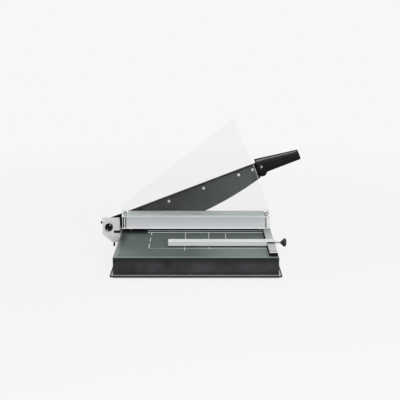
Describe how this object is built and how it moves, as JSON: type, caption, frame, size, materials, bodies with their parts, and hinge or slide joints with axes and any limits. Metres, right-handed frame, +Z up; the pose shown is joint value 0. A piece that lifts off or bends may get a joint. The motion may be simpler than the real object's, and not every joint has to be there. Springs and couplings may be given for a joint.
{
  "type": "lever paper cutter",
  "caption": "Desk paper cutter with a curved blade on a hand lever, a sprung clamp bar under a clear triangular guard, and a back gauge that slides on a side rail.",
  "frame": {"origin": "middle of the base on the desk, at the centre of the table's width and of the depth from its front edge to the cutting plane", "axes": "+X along the cut from the pivot to the handle's end, +Y from the user to the blade, +Z up"},
  "size_m": [0.5425, 0.3145, 0.3539],
  "materials": {
    "base_paint": "fine texture, satin",
    "table_paint": "hammered grey-green, satin",
    "bracket_paint": "light grey, satin",
    "lever_paint": "dark grey, satin",
    "aluminium": "fine brushed",
    "steel": "ground",
    "bright_steel": "zinc plated",
    "brass": "turned",
    "rubber": "matt",
    "black_plastic": "moulded, fine grain",
    "clear_plastic": "clear, polished"
  },
  "bodies": {
    "base": {"rubber_ring": "rubber", "bottom_plate": "base_paint", "pillars": "steel", "pillar_screws": "bright_steel", "left_wall": "base_paint", "right_wall": "base_paint", "front_wall": "base_paint", "rear_beam": "base_paint", "ribs": "base_paint", "table_top": "table_paint", "counter_blade": "steel", "counter_blade_screws": "bright_steel", "side_rail": "aluminium", "rail_screws": "bright_steel", "rail_end_block": "black_plastic", "guide_bushes": "brass", "clamp_springs": "steel", "pivot_bracket": "bracket_paint", "bracket_bolts": "bright_steel", "bracket_nuts": "bright_steel", "bracket_screws": "base_paint", "bracket_set_screw": "base_paint", "pivot_bush": "brass", "levelling_screw": "base_paint", "levelling_tip": "rubber", "stop_bumper": "rubber"},
    "clamp": {"clamp_bar": "aluminium", "left_end_cap": "bracket_paint", "right_end_cap": "bracket_paint", "end_cap_screws": "bright_steel", "clamp_pad": "rubber", "guide_rods": "steel", "rod_collars": "bright_steel", "guard": "clear_plastic", "guard_screws": "bright_steel", "guard_washers": "bright_steel"},
    "lever": {"blade": "lever_paint", "lever_arm": "lever_paint", "blade_screws": "bright_steel", "pivot_shaft": "steel", "thrust_washer": "brass", "disc_springs": "steel", "pivot_washer": "base_paint", "pivot_nut": "base_paint", "nut_pins": "bright_steel", "front_grip": "black_plastic", "rear_grip": "black_plastic", "handle_screw": "bright_steel", "handle_nut": "bright_steel"},
    "gauge": {"gauge_bar": "aluminium", "gauge_glide": "black_plastic", "gauge_slider": "aluminium", "slider_liner": "black_plastic", "slider_screws": "bright_steel"},
    "knob": {"lock_screw": "bright_steel", "lock_knob": "black_plastic"}
  },
  "joints": [
    {"name": "lever_swing", "type": "hinge", "parent": "base", "child": "lever", "pos_m": [-0.2375, 0.1295, 0.0562], "axis": [0, -1, 0], "range_deg": [-17.6, 38]},
    {"name": "clamp_press", "type": "slide", "parent": "base", "child": "clamp", "axis": [0, 0, -1], "range_m": [0, 0.005], "stiffness_N_per_m": 2500, "springref_m": -0.012, "deforming": ["clamp_springs"]},
    {"name": "gauge_slide", "type": "slide", "parent": "base", "child": "gauge", "axis": [0, 1, 0], "range_m": [-0.073, 0.108]},
    {"name": "knob_turn", "type": "hinge", "parent": "gauge", "child": "knob", "pos_m": [0.2, -0.04425, 0.0598], "axis": [1, 0, 0], "range_deg": [0, 360]}
  ]
}
